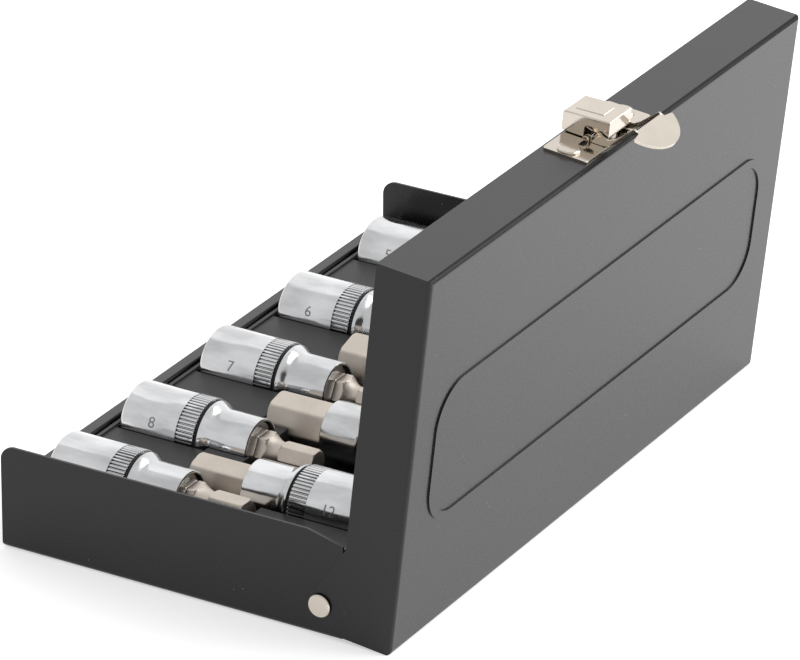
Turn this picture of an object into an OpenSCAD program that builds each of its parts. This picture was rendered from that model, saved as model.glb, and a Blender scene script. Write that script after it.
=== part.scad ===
// Hinged sheet steel case for nine half inch drive hex bit sockets.
// Axes: X along the case, Y from front to rear, Z up. Origin: centre of the base's underside.
// Units are millimetres. The lid stands open at rest, a little past upright.

/* [Case] */
// outside length of the base
case_len = 230; // [228:1:236]
// outside depth of the base
case_depth = 120.4; // [120:0.2:124]
// height of the end walls
end_h = 34.4; // [34:0.2:34.6]
// height of the front wall at its turned rim
front_h = 17.1; // [16.7:0.1:17.1]
// height of the rear wall
rear_h = 30; // [28:0.5:31]
// sheet thickness of base and lid
sheet = 0.8; // [0.6:0.1:0.8]
// reach of the rim turned outward at the front
rim_reach = 3.8; // [3.6:0.1:3.8]
// rounding of the end walls at the front
nose_r = 4.8; // [3:0.2:6]

/* [Lid] */
// how far the lid stands open
open_angle = 96; // [80:0.2:96]
// hinge axis height above the underside
pivot_h = 10.8; // [10.3:0.1:10.8]
// hinge axis distance from the rear of the base
pivot_back = 7.1; // [7:0.1:7.2]
// height of the closed lid above the underside
lid_top = 35.7; // [35.7:0.1:37]
// height of the lid's rim when closed
lid_rim = 17.3; // [17.3:0.1:17.5]
// rounding of the lid's folds
fold_r = 1.6; // [1.2:0.1:1.8]
// diameter of the hinge rivet heads
rivet_head_d = 7.5; // [6:0.1:8]

/* [Sockets] */
// side of the driving square
drive_sq = 12.7; // [12.7:0.1:12.8]
// diameter of the socket body
body_d = 23.8; // [23:0.1:24]
// diameter of the socket neck
neck_d = 19.2; // [18.8:0.1:19.4]
// length of the wide part of a socket
body_l = 27.2; // [26.5:0.1:27.5]
// length of a socket from driving end to neck end
socket_l = 44.6; // [44:0.1:45]
// length of a socket with its bit
whole_l = 65.2; // [64.4:0.1:65.4]
// hex size of the first front bit
size_a1 = 10; // [8:0.5:11]
// hex size of the second front bit
size_a2 = 8; // [6:0.5:10]
// hex size of the third front bit
size_a3 = 7; // [5:0.5:10]
// hex size of the fourth front bit
size_a4 = 6; // [5:0.5:10]
// hex size of the fifth front bit
size_a5 = 5; // [4:0.5:10]
// hex size of the first rear bit
size_b1 = 12; // [10:0.5:12]
// hex size of the second rear bit
size_b2 = 14; // [10:0.5:14]
// hex size of the third rear bit
size_b3 = 17; // [14:0.5:17]
// hex size of the fourth rear bit
size_b4 = 19; // [14:0.5:19]

/* [Insert] */
// height of the insert's flat top
tray_top = 16.3; // [15.8:0.1:16.4]
// height of the sockets' axes
axis_h = 15.05; // [15:0.05:15.2]
// depth of the finger hollow across the middle
hollow_depth = 11.8; // [8:0.2:12]

/* [Latch] */
// length of the latch plate along the case
plate_len = 41; // [40:0.5:42]
// width of the latch plate
plate_w = 15.2; // [14.8:0.1:15.4]
// width of the latch hood
hood_w = 13.6; // [13:0.1:13.6]
// length of the latch hood
hood_l = 16; // [15.8:0.1:16.2]
// width of the thumb tab
tab_w = 24.4; // [22:0.2:26]
// length of the thumb tab
tab_l = 9.3; // [8:0.1:10]

/* [Hidden] */
$fn = 64;

// shared small sizes
overrun = 1;
pin_fit = 0.05;
still_fit = 0.02;
eps_gap = 0.05;
half_len = case_len / 2;
front_out = 0;
rear_out = case_depth;
pivot_y = case_depth - pivot_back;

// base
bend_r = 1.6;
bend_in = bend_r - sheet;
rear_corner_run = 12.3;
rear_corner_drop = 3.1;
rear_corner_y = case_depth - rear_corner_run;
rear_corner_h = end_h - rear_corner_drop;
rim_end_gap = 6;
rim_half = half_len - rim_end_gap;
rim_bend = 1.2;

// lid
lid_gap = 0.3;
lid_half = half_len + lid_gap + sheet;
lid_in_half = lid_half - sheet;
lid_front = front_out - rim_reach;
lid_rear_gap = 0.4;
lid_rear = case_depth + lid_rear_gap + sheet;
lid_rear_rise = 2;
lid_rear_rim = lid_rim + lid_rear_rise;
fold_in = fold_r - sheet;
ear_r = 5.7;
ear_y = lid_rear - ear_r;
ear_rise = 1.1;
ear_z = pivot_h + ear_rise;
ear_start_y = 92;
field_side_share = 0.055;
field_front_share = 0.33;
field_rear_share = 0.71;
field_rise = 0.5;
field_r = 14;
field_band = 2.4;

// hinge rivets
shaft_r = 2;
collar_r = 2.4;
inner_head_r = 3;
inner_head_h = 0.9;
outer_head_h = 0.9;
head_edge = 0.35;
collar_out = lid_half + lid_gap;

// insert
wall_fit = 0.3;
front_fit = 1.2;
tray_front = sheet + front_fit;
tray_rear = case_depth - sheet - wall_fit;
tray_half = half_len - sheet - wall_fit;
tray_rim_w = 1.2;
tray_foot_in = 0.7;
tray_foot_h = 0.6;
tray_rim_h = 0.6;
seat_gap = 0.4;
seat_lift = seat_gap - eps_gap;
hollow_front = 50;
hollow_rear = 88;
hollow_far_gap = 7;
hollow_near_gap = 35;
hollow_x0 = -half_len + hollow_far_gap;
hollow_x1 = half_len - hollow_near_gap;
hollow_r = 6;
end_gap = 0.6;
tip_gap = 1.6;
bit_gap = 0.7;

// sockets
body_r = body_d / 2;
neck_r = neck_d / 2;
front_start = 4.1;
rear_set_back = 14.4;
rear_start = case_depth - rear_set_back;
front_shares = [0.3713, 0.19, -0.013, -0.22, -0.44];
rear_shares = [0.2948, 0.09, -0.1043, -0.3304];
hex_turn = 60;
front_roll_shares = [0, 0, 0, 0.5, 0];
rear_roll_shares = [0.75, 0.825, 0.75, 0.5];
knurl_l = 6.3;
knurl_drop = 0.15;
groove_w = 0.5;
groove_depth = 0.7;
lead = 0.8;
flange_l = 0.25;
flare_l = 4.2;
flare_shares = [[0, 0.86], [0.4, 0.62], [0.75, 0.22], [1, 0]];
drive_fit = 0.1;
drive_depth = 16;
drive_lead = 0.7;
drive_lead_r = 1.5;
rim_hole_r = 8.6;
rim_hole_depth = 3;
bit_room_af = 14;
slim_shank_af = 11;
slim_shank_step = 2;
stout_shank_af = 12;
shank_start = 24;
ring_r = 8.2;
slice_start = 0.9;
slice_gap = 0.3;
slice_core = 0.5;
collar_l = 3;
throat_l = 5.2;
tip_lead = 0.7;
hex_round = 2 / sqrt(3);

// latch, seen with the lid closed: s runs up from the lid's rim, n outward from its wall
plate_s = 1.2;
plate_t = 0.8;
plate_r = 1.2;
ear_in = 8.6;
ear_t = 0.8;
ear_s0 = 8.6;
ear_s1 = 10.6;
window_w = 2.4;
lever_pin_s = 9.6;
lever_pin_n = 1.9;
lever_pin_r = 0.5;
pin_head_r = 0.85;
pin_head_h = 0.5;
rail_in = 7.3;
rail_t = 0.8;
rail_boss = 0.95;
hood_pin_s = 13.2;
hood_pin_n = 3.6;
hood_pin_r = 0.5;
hood_t = 0.8;
hood_foot = 1.15;
hood_rim_h = 7.5;
hood_far_h = 8.5;
hood_cut_s0 = 7.6;
hood_cut_s1 = 12.2;
hood_cut_h = 5.1;
hood_cut_r = 1.2;
block_foot = 1.9;
block_end = 14.9;
end_foot = 3.4;
emboss_w = 6.8;
emboss_s0 = 2.4;
emboss_s1 = 12;
emboss_h = 0.25;
rail_low = [[9.6, 0.95], [14.6, 0.95], [16.6, 1.3], [19.1, 2.8], [21.6, 5], [24, 7.3], [25.9, 8.2]];
rail_high = [[25.7, 9.2], [24.6, 9.6], [23.1, 8.3], [21.4, 6.7], [18.9, 4.4], [16.6, 3.2],
  [14.8, 3.7], [13.2, 4.55], [12.2, 3.2], [11.2, 2.85], [9.6, 2.85]];
rail_unit = 1;
tab_s = 26.1;
tab_n = 9;
tab_tilt = 23;
tab_t = 0.9;
tab_sag = 9;
tab_back = 0.8;
tab_root = 0.3;
tab_shoulder = 1;
latch_rivet_x = 16.6;
latch_rivet_s = 8.3;
latch_rivet_r = 3.7;
latch_rivet_h = 0.9;
latch_shaft_r = 1.2;
spring_s0 = 7.9;
spring_n0 = 4.1;
spring_s1 = 12;
spring_n1 = 2.7;
spring_t = 0.45;

// keeper
keeper_half = 8;
keeper_t = 0.8;
keeper_low = 5;
keeper_top = 15.2;
keeper_reach = 5.2;
keeper_rivet_x = 5;
keeper_rivet_z = 8;
keeper_rivet_r = 1.5;
keeper_head_h = 0.6;

// colours
paint = [0.22, 0.22, 0.23];
dark = [0.2, 0.2, 0.21];
bright = [0.83, 0.84, 0.85];
warm = [0.78, 0.74, 0.68];
nickel = [0.84, 0.81, 0.78];

// helpers
module in_case() {
  translate([0, -case_depth / 2, 0]) children();
}

module along_x(from, len) {
  translate([from, 0, 0]) rotate([90, 0, 90]) linear_extrude(len) children();
}

module along_y(from, len) {
  translate([0, from + len, 0]) rotate([90, 0, 0]) linear_extrude(len) children();
}

module at_rest() {
  translate([0, pivot_y, pivot_h]) rotate([-open_angle, 0, 0])
    translate([0, -pivot_y, -pivot_h]) children();
}

module soft_rect(x0, y0, x1, y1, r) {
  translate([x0 + r, y0]) square([x1 - x0 - 2 * r, y1 - y0]);
  translate([x0, y0 + r]) square([x1 - x0, y1 - y0 - 2 * r]);
  for (x = [x0 + r, x1 - r]) {
    for (y = [y0 + r, y1 - r]) {
      translate([x, y]) circle(r);
    }
  }
}

module box(x0, y0, z0, x1, y1, z1) {
  translate([x0, y0, z0]) cube([x1 - x0, y1 - y0, z1 - z0]);
}

// side outline of the base: round at the front top, cut at the rear top, round below
module end_outline(in, low_r) {
  difference() {
    union() {
      translate([in, in + low_r]) square([rear_out - 2 * in, end_h - nose_r - in - low_r]);
      translate([in + low_r, in]) square([rear_out - 2 * in - 2 * low_r, end_h - nose_r - in]);
      for (y = [in + low_r, rear_out - in - low_r]) {
        translate([y, in + low_r]) circle(low_r);
      }
      translate([nose_r, end_h - nose_r - overrun]) square([rear_out - in - nose_r, nose_r + overrun]);
      translate([nose_r, end_h - nose_r]) circle(nose_r - in);
    }
    polygon([[rear_corner_y, end_h], [rear_out, rear_corner_h], [rear_out + overrun, rear_corner_h],
      [rear_out + overrun, end_h + overrun], [rear_corner_y, end_h + overrun]]);
  }
}

module base_block(in, low_r) {
  intersection() {
    along_x(-half_len + in, case_len - 2 * in) end_outline(in, low_r);
    along_y(-overrun, case_depth + 2 * overrun)
      translate([0, 0]) soft_rect(-half_len + in, in, half_len - in, end_h + case_depth, low_r);
  }
}

module base_shell() {
  color(paint) in_case() difference() {
    union() {
      difference() {
        base_block(0, bend_r);
        intersection() {
          along_x(-half_len + sheet, case_len - 2 * sheet)
            translate([sheet, sheet]) square([rear_out - 2 * sheet, end_h + overrun]);
          along_y(-overrun, case_depth + 2 * overrun)
            soft_rect(-half_len + sheet, sheet, half_len - sheet, end_h + case_depth, bend_in);
          along_x(-half_len, case_len)
            soft_rect(sheet, sheet, rear_out - sheet, end_h + case_depth, bend_in);
        }
        box(-half_len + sheet, -overrun, front_h - rim_bend, half_len - sheet, sheet + overrun,
          end_h + overrun);
        box(-half_len + sheet, rear_out - sheet - overrun, rear_h, half_len - sheet,
          rear_out + overrun, end_h + overrun);
      }
      // rim of the front wall turned outward
      along_x(-rim_half, 2 * rim_half) difference() {
        union() {
          translate([-rim_reach, front_h - sheet]) square([rim_reach + sheet - rim_bend, sheet]);
          translate([sheet - rim_bend, front_h - rim_bend]) circle(rim_bend);
          translate([0, front_h - rim_bend - overrun]) square([sheet, overrun]);
        }
        translate([-rim_reach - overrun, front_h - sheet - overrun - rim_bend])
          square([rim_reach + overrun, overrun + rim_bend]);
      }
    }
    // holes of the hinge rivets
    for (side = [-1, 1]) {
      translate([side * half_len, pivot_y, pivot_h]) rotate([0, 90, 0])
        cylinder(r = shaft_r + still_fit, h = 2 * overrun + 2 * sheet, center = true);
    }
    // holes of the keeper rivets
    for (side = [-1, 1]) {
      translate([side * keeper_rivet_x, sheet / 2, keeper_rivet_z]) rotate([90, 0, 0])
        cylinder(r = keeper_rivet_r / 2 + still_fit, h = 2 * overrun + sheet, center = true);
    }
  }
}

// pocket of one socket: a round seat, open upward
module pocket(r, y0, y1) {
  translate([0, y0, axis_h + seat_lift]) rotate([-90, 0, 0]) cylinder(r = r + seat_gap, h = y1 - y0);
  box(-r - seat_gap, y0, axis_h + seat_lift, r + seat_gap, y1, front_h + overrun);
}

module pocket_set(size) {
  pocket(body_r, -end_gap, body_l + flange_l + flare_l);
  pocket(neck_r, body_l, socket_l + end_gap);
  pocket(max(bit_room_af, size) * hex_round / 2 + bit_gap - seat_gap, socket_l, whole_l + tip_gap);
}

module insert_tray() {
  color(dark) in_case() difference() {
    union() {
      box(-tray_half, tray_front, sheet + tray_foot_h, tray_half, tray_rear, tray_top);
      box(-tray_half + tray_foot_in, tray_front + tray_foot_in, sheet, tray_half - tray_foot_in,
        tray_rear - tray_foot_in, tray_top);
      difference() {
        box(-tray_half, tray_front, tray_top - overrun, tray_half, tray_rear, tray_top + tray_rim_h);
        box(-tray_half + tray_rim_w, tray_front + tray_rim_w, tray_top, tray_half - tray_rim_w,
          tray_rear - tray_rim_w, tray_top + tray_rim_h + overrun);
      }
    }
    for (i = [0:4]) {
      translate([front_shares[i] * case_len, front_start, 0]) pocket_set(0);
    }
    for (i = [0:3]) {
      translate([rear_shares[i] * case_len, rear_start, 0]) rotate([0, 0, 180])
        pocket_set([size_b1, size_b2, size_b3, size_b4][i]);
    }
    // finger hollow across the middle, round in plan
    translate([0, 0, tray_top - hollow_depth]) linear_extrude(hollow_depth + overrun)
      soft_rect(hollow_x0, hollow_front, hollow_x1, hollow_rear, hollow_r);
    // rooms for the inner rivet heads
    for (side = [-1, 1]) {
      translate([side * half_len, pivot_y, pivot_h]) rotate([0, 90, 0])
        cylinder(r = inner_head_r + wall_fit, h = 2 * (sheet + inner_head_h + wall_fit), center = true);
    }
  }
}

module latch_keeper() {
  color(nickel) in_case() difference() {
    union() {
      box(-keeper_half, -keeper_t, keeper_low, keeper_half, 0, keeper_top);
      box(-keeper_half, -keeper_reach, keeper_top - keeper_t, keeper_half, 0, keeper_top);
    }
    for (side = [-1, 1]) {
      translate([side * keeper_rivet_x, 0, keeper_rivet_z]) rotate([90, 0, 0])
        cylinder(r = keeper_rivet_r / 2 + still_fit, h = 2 * (overrun + keeper_t), center = true);
    }
  }
}

module keeper_rivets() {
  color(nickel) in_case() for (side = [-1, 1]) {
    translate([side * keeper_rivet_x, 0, keeper_rivet_z]) rotate([90, 0, 0]) {
      translate([0, 0, -sheet]) cylinder(r = keeper_rivet_r / 2, h = sheet + keeper_t);
      translate([0, 0, keeper_t]) cylinder(r = keeper_rivet_r, h = keeper_head_h);
      translate([0, 0, -sheet - keeper_head_h]) cylinder(r = keeper_rivet_r, h = keeper_head_h);
    }
  }
}

// one hinge rivet: inner head, shaft in the base, collar for the lid's ear, outer head
module hinge_rivet() {
  rotate([0, 90, 0]) {
    translate([0, 0, -sheet - inner_head_h]) cylinder(r = inner_head_r, h = inner_head_h);
    translate([0, 0, -sheet]) cylinder(r = shaft_r, h = sheet);
    cylinder(r = collar_r, h = collar_out - half_len);
    translate([0, 0, collar_out - half_len]) {
      cylinder(r = rivet_head_d / 2, h = outer_head_h - head_edge);
      translate([0, 0, outer_head_h - head_edge])
        cylinder(r1 = rivet_head_d / 2, r2 = rivet_head_d / 2 - head_edge, h = head_edge);
    }
  }
}

module hinge_rivets() {
  color(nickel) in_case() {
    translate([half_len, pivot_y, pivot_h]) hinge_rivet();
    translate([-half_len, pivot_y, pivot_h]) rotate([0, 0, 180]) hinge_rivet();
  }
}

// ear of the lid around the hinge rivet, tangent to its round end
module ear_outline() {
  run = ear_y - ear_start_y;
  drop = lid_rim - ear_z;
  far = sqrt(run * run + drop * drop);
  lean = atan2(drop, run) + asin(ear_r / far);
  touch = sqrt(far * far - ear_r * ear_r);
  translate([ear_y, ear_z]) circle(ear_r);
  polygon([[ear_start_y, lid_rim], [ear_start_y + touch * cos(lean), lid_rim - touch * sin(lean)],
    [ear_y, ear_z], [lid_rear, ear_z], [lid_rear, lid_rim + overrun],
    [ear_start_y, lid_rim + overrun]]);
}

module lid_body(in, r) {
  intersection() {
    along_x(-lid_half + in, 2 * (lid_half - in))
      soft_rect(lid_front + in, lid_rim - case_depth, lid_rear - in, lid_top - in, r);
    along_y(lid_front - overrun, lid_rear - lid_front + 2 * overrun)
      soft_rect(-lid_half + in, lid_rim - case_depth, lid_half - in, lid_top - in, r);
  }
}

module lid_shell() {
  field_w = lid_rear - lid_front;
  color(paint) in_case() at_rest() difference() {
    union() {
      difference() {
        lid_body(0, fold_r);
        lid_body(sheet, fold_in);
        box(-lid_half - overrun, lid_front - overrun, lid_rim - 2 * case_depth, lid_half + overrun,
          lid_rear + overrun, lid_rim);
        box(-lid_in_half, lid_rear - sheet - overrun, lid_rim - overrun, lid_in_half,
          lid_rear + overrun, lid_rear_rim);
      }
      for (x = [-lid_half, lid_in_half]) {
        along_x(x, sheet) ear_outline();
      }
      // raised plain field of the panel
      translate([0, 0, lid_top - sheet / 2]) linear_extrude(sheet / 2 + field_rise) difference() {
        soft_rect(-lid_half * (1 - 2 * field_side_share), lid_front + field_w * field_front_share,
          lid_half * (1 - 2 * field_side_share), lid_front + field_w * field_rear_share, field_r);
        soft_rect(-lid_half * (1 - 2 * field_side_share) + field_band,
          lid_front + field_w * field_front_share + field_band,
          lid_half * (1 - 2 * field_side_share) - field_band,
          lid_front + field_w * field_rear_share - field_band, field_r - field_band / 2);
      }
    }
    for (side = [-1, 1]) {
      translate([side * lid_half, pivot_y, pivot_h]) rotate([0, 90, 0])
        cylinder(r = collar_r + pin_fit, h = 2 * (sheet + overrun), center = true);
      translate([side * latch_rivet_x, lid_front, lid_rim + latch_rivet_s]) rotate([90, 0, 0])
        cylinder(r = latch_shaft_r + still_fit, h = 2 * (sheet + overrun), center = true);
    }
  }
}

// a point of the latch from its height over the wall and its distance from the rim
function over(s, n) = [lid_front - n, lid_rim + s];

// a bore or a pin of the latch across the case
module cross(s, n, r, half) {
  translate([0, lid_front - n, lid_rim + s]) rotate([0, 90, 0])
    cylinder(r = r, h = 2 * half, center = true);
}

module latch_plate() {
  color(nickel) in_case() at_rest() difference() {
    union() {
      along_y(lid_front - plate_t, plate_t)
        soft_rect(-plate_len / 2, lid_rim + plate_s, plate_len / 2, lid_rim + plate_s + plate_w,
          plate_r);
      for (x = [-ear_in - ear_t, ear_in]) {
        along_x(x, ear_t) {
          polygon([over(ear_s0, 0), over(ear_s0, lever_pin_n), over(ear_s1, lever_pin_n),
            over(ear_s1, 0)]);
          translate(over((ear_s0 + ear_s1) / 2, lever_pin_n)) circle((ear_s1 - ear_s0) / 2);
        }
      }
    }
    for (side = [-1, 1]) {
      translate([side * latch_rivet_x, lid_front, lid_rim + latch_rivet_s]) rotate([90, 0, 0])
        cylinder(r = latch_shaft_r + still_fit, h = 2 * (plate_t + overrun), center = true);
      along_y(lid_front - plate_t - overrun, plate_t + 2 * overrun)
        translate([side * (ear_in + ear_t + window_w / 2) - window_w / 2, lid_rim + ear_s0])
          square([window_w, ear_s1 - ear_s0]);
    }
    cross(lever_pin_s, lever_pin_n, lever_pin_r + still_fit, ear_in + 2 * ear_t);
  }
}

module latch_rivets() {
  color(nickel) in_case() at_rest() for (side = [-1, 1]) {
    translate([side * latch_rivet_x, lid_front, lid_rim + latch_rivet_s]) rotate([90, 0, 0]) {
      translate([0, 0, -sheet]) cylinder(r = latch_shaft_r, h = sheet + plate_t);
      translate([0, 0, plate_t]) cylinder(r = latch_rivet_r, h = latch_rivet_h - head_edge);
      translate([0, 0, plate_t + latch_rivet_h - head_edge])
        cylinder(r1 = latch_rivet_r, r2 = latch_rivet_r - 2 * head_edge, h = head_edge);
      translate([0, 0, -sheet - head_edge]) cylinder(r = 2 * latch_shaft_r, h = head_edge);
    }
  }
}

module latch_lever() {
  sag_r = (tab_w * tab_w / 4 + tab_sag * tab_sag) / (2 * tab_sag);
  color(nickel) in_case() at_rest() difference() {
    union() {
      for (x = [-rail_in - rail_t, rail_in]) {
        along_x(x, rail_t) {
          polygon([for (p = concat(rail_low, rail_high)) over(p[0] * rail_unit, p[1] * rail_unit)]);
          translate(over(lever_pin_s, lever_pin_n)) circle(rail_boss);
          translate(over(hood_pin_s, hood_pin_n)) circle(rail_boss);
        }
      }
      translate([0, lid_front - tab_n, lid_rim + tab_s]) rotate([-tab_tilt, 0, 0])
        along_y(0, tab_t) intersection() {
          translate([0, tab_l - sag_r]) circle(sag_r);
          polygon([[-rail_in - rail_t, -tab_back], [rail_in + rail_t, -tab_back],
            [rail_in + rail_t, tab_root], [tab_w / 2 - tab_root, tab_shoulder], [tab_w, tab_shoulder],
            [tab_w, tab_l + tab_back], [-tab_w, tab_l + tab_back], [-tab_w, tab_shoulder],
            [-tab_w / 2 + tab_root, tab_shoulder], [-rail_in - rail_t, tab_root]]);
        }
    }
    cross(lever_pin_s, lever_pin_n, lever_pin_r + pin_fit, ear_in);
    cross(hood_pin_s, hood_pin_n, hood_pin_r + still_fit, ear_in);
  }
}

module lever_pin() {
  color(nickel) in_case() at_rest() {
    cross(lever_pin_s, lever_pin_n, lever_pin_r, ear_in + ear_t);
    for (side = [-1, 1]) {
      translate([side * (ear_in + ear_t + pin_head_h / 2), 0, 0])
        cross(lever_pin_s, lever_pin_n, pin_head_r, pin_head_h / 2);
    }
  }
}

module latch_hood() {
  rise = (hood_far_h - hood_rim_h) / hood_l;
  color(nickel) in_case() at_rest() difference() {
    union() {
      difference() {
        along_x(-hood_w / 2, hood_w)
          polygon([over(0, hood_foot), over(0, hood_rim_h), over(hood_l, hood_far_h),
            over(hood_l, end_foot), over(block_end, block_foot), over(hood_cut_s1, block_foot),
            over(hood_cut_s1, hood_cut_h), for (t = [0:15:90]) over(hood_cut_s0 + hood_cut_r * (1 - sin(t)),
              hood_cut_h - hood_cut_r * (1 - cos(t))), over(hood_cut_s0, hood_foot)]);
        along_x(-hood_w / 2 + hood_t, hood_w - 2 * hood_t)
          polygon([over(hood_t, -overrun), over(hood_t, hood_rim_h - hood_t + rise * hood_t),
            over(hood_l - hood_t, hood_far_h - hood_t - rise * hood_t),
            over(hood_l - hood_t, -overrun)]);
      }
      along_x(-emboss_w / 2, emboss_w)
        polygon([over(emboss_s0, hood_rim_h + rise * emboss_s0 - hood_t / 2),
          over(emboss_s0, hood_rim_h + rise * emboss_s0 + emboss_h),
          over(emboss_s1, hood_rim_h + rise * emboss_s1 + emboss_h),
          over(emboss_s1, hood_rim_h + rise * emboss_s1 - hood_t / 2)]);
    }
    cross(hood_pin_s, hood_pin_n, hood_pin_r + pin_fit, hood_w);
  }
}

module hood_pin() {
  color(nickel) in_case() at_rest()
    cross(hood_pin_s, hood_pin_n, hood_pin_r, rail_in + rail_t);
}

module latch_spring() {
  color(bright) in_case() at_rest()
    along_x(-hood_w / 2 + hood_t, hood_w - 2 * hood_t)
      polygon([over(spring_s0, spring_n0), over(spring_s0, spring_n0 + spring_t),
        over(spring_s1, spring_n1 + spring_t), over(spring_s1, spring_n1)]);
}

// one socket on the Y axis, driving end at the origin
module socket_shape(roll, hex_af) {
  groove_start = body_l - groove_w;
  band_start = groove_start - knurl_l;
  flare_start = body_l + flange_l;
  rotate([-90, 0, 0]) difference() {
    rotate_extrude() polygon([[0, 0], [body_r - lead, 0], [body_r, lead], [body_r, band_start],
      [body_r - knurl_drop, band_start], [body_r - knurl_drop, groove_start],
      [body_r - groove_depth, groove_start], [body_r - groove_depth, body_l],
      [body_r - knurl_drop, body_l], [body_r - knurl_drop, flare_start],
      for (p = flare_shares) [neck_r + (body_r - neck_r) * p[1] - knurl_drop * p[1],
        flare_start + flare_l * p[0]],
      [neck_r, socket_l - lead / 2], [neck_r - lead / 2, socket_l], [0, socket_l]]);
    // driving square
    translate([0, 0, drive_depth / 2 - overrun / 2])
      cube([drive_sq + 2 * drive_fit, drive_sq + 2 * drive_fit, drive_depth + overrun], center = true);
    translate([0, 0, -eps_gap])
      cylinder(r1 = drive_sq / 2 + drive_lead_r, r2 = drive_sq / 2, h = drive_lead * 2);
    // hex hole of the bit and the wider hole at the neck's end
    translate([0, 0, shank_start - still_fit]) rotate([0, 0, roll * hex_turn])
      cylinder(r = (hex_af / 2 + still_fit) * hex_round, h = socket_l, $fn = 6);
    translate([0, 0, socket_l - rim_hole_depth]) cylinder(r = rim_hole_r, h = rim_hole_depth + overrun);
  }
}

// hex of a given size, its tip led in by a cone
module hex_end(size, from, to) {
  corner = size / 2 * hex_round;
  intersection() {
    translate([0, 0, from]) cylinder(r = corner, h = to - from, $fn = 6);
    rotate_extrude() polygon([[0, from - overrun], [size, from - overrun], [size, to - tip_lead],
      [corner + tip_lead / 4, to - tip_lead], [corner - tip_lead, to], [0, to]]);
  }
}

// hex of the part of a slender bit that sits in the socket
function slim_af(size) = max(slim_shank_af, size + slim_shank_step);

// bit with a grooved collar, a concave throat and a slender hex
module slim_bit(size, roll) {
  slice_end = socket_l + slice_start;
  collar_end = socket_l + collar_l;
  taper_end = collar_end + throat_l;
  throat_mid = (collar_end + taper_end) / 2;
  af = slim_af(size);
  rotate([-90, 0, 0]) rotate([0, 0, roll * hex_turn]) {
    translate([0, 0, shank_start]) cylinder(r = af / 2 * hex_round, h = slice_end - shank_start, $fn = 6);
    translate([0, 0, slice_end + slice_gap])
      cylinder(r = af / 2 * hex_round, h = collar_end - slice_end - slice_gap, $fn = 6);
    rotate_extrude() polygon([[0, slice_end - overrun], [af / 2 - slice_core, slice_end - overrun],
      [af / 2 - slice_core, collar_end - eps_gap], [af / 2 - eps_gap, collar_end - eps_gap],
      [af / 2 - eps_gap, collar_end], [size / 2 + (af - size) / 8, throat_mid],
      [size / 2 * hex_round - eps_gap, taper_end], [0, taper_end]]);
    hex_end(size, throat_mid, whole_l);
  }
}

// bit whose hex reaches back to the neck
module stout_bit(size, roll) {
  rotate([-90, 0, 0]) rotate([0, 0, roll * hex_turn]) {
    translate([0, 0, shank_start]) cylinder(r = stout_shank_af / 2 * hex_round,
      h = socket_l - shank_start + eps_gap, $fn = 6);
    translate([0, 0, socket_l - rim_hole_depth + eps_gap])
      cylinder(r = ring_r, h = rim_hole_depth + eps_gap);
    hex_end(size, socket_l + eps_gap, whole_l);
  }
}

module front_place(i) {
  in_case() translate([front_shares[i] * case_len, front_start, axis_h]) children();
}

module rear_place(i) {
  in_case() translate([rear_shares[i] * case_len, rear_start, axis_h]) rotate([0, 0, 180]) children();
}

module socket_a1() { color(bright) front_place(0) socket_shape(front_roll_shares[0], slim_af(size_a1)); }
module socket_a2() { color(bright) front_place(1) socket_shape(front_roll_shares[1], slim_af(size_a2)); }
module socket_a3() { color(bright) front_place(2) socket_shape(front_roll_shares[2], slim_af(size_a3)); }
module socket_a4() { color(bright) front_place(3) socket_shape(front_roll_shares[3], slim_af(size_a4)); }
module socket_a5() { color(bright) front_place(4) socket_shape(front_roll_shares[4], slim_af(size_a5)); }
module socket_b1() { color(bright) rear_place(0) socket_shape(rear_roll_shares[0], stout_shank_af); }
module socket_b2() { color(bright) rear_place(1) socket_shape(rear_roll_shares[1], stout_shank_af); }
module socket_b3() { color(bright) rear_place(2) socket_shape(rear_roll_shares[2], stout_shank_af); }
module socket_b4() { color(bright) rear_place(3) socket_shape(rear_roll_shares[3], stout_shank_af); }
module bit_a1() { color(warm) front_place(0) slim_bit(size_a1, front_roll_shares[0]); }
module bit_a2() { color(warm) front_place(1) slim_bit(size_a2, front_roll_shares[1]); }
module bit_a3() { color(warm) front_place(2) slim_bit(size_a3, front_roll_shares[2]); }
module bit_a4() { color(warm) front_place(3) slim_bit(size_a4, front_roll_shares[3]); }
module bit_a5() { color(warm) front_place(4) slim_bit(size_a5, front_roll_shares[4]); }
module bit_b1() { color(warm) rear_place(0) stout_bit(size_b1, rear_roll_shares[0]); }
module bit_b2() { color(warm) rear_place(1) stout_bit(size_b2, rear_roll_shares[1]); }
module bit_b3() { color(warm) rear_place(2) stout_bit(size_b3, rear_roll_shares[2]); }
module bit_b4() { color(warm) rear_place(3) stout_bit(size_b4, rear_roll_shares[3]); }

base_shell();
insert_tray();
latch_keeper();
keeper_rivets();
hinge_rivets();
lid_shell();
latch_plate();
latch_rivets();
latch_lever();
lever_pin();
latch_hood();
hood_pin();
latch_spring();
socket_a1();
socket_a2();
socket_a3();
socket_a4();
socket_a5();
socket_b1();
socket_b2();
socket_b3();
socket_b4();
bit_a1();
bit_a2();
bit_a3();
bit_a4();
bit_a5();
bit_b1();
bit_b2();
bit_b3();
bit_b4();
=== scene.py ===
import math

import bmesh
import bpy
from mathutils import Matrix, Vector


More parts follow.
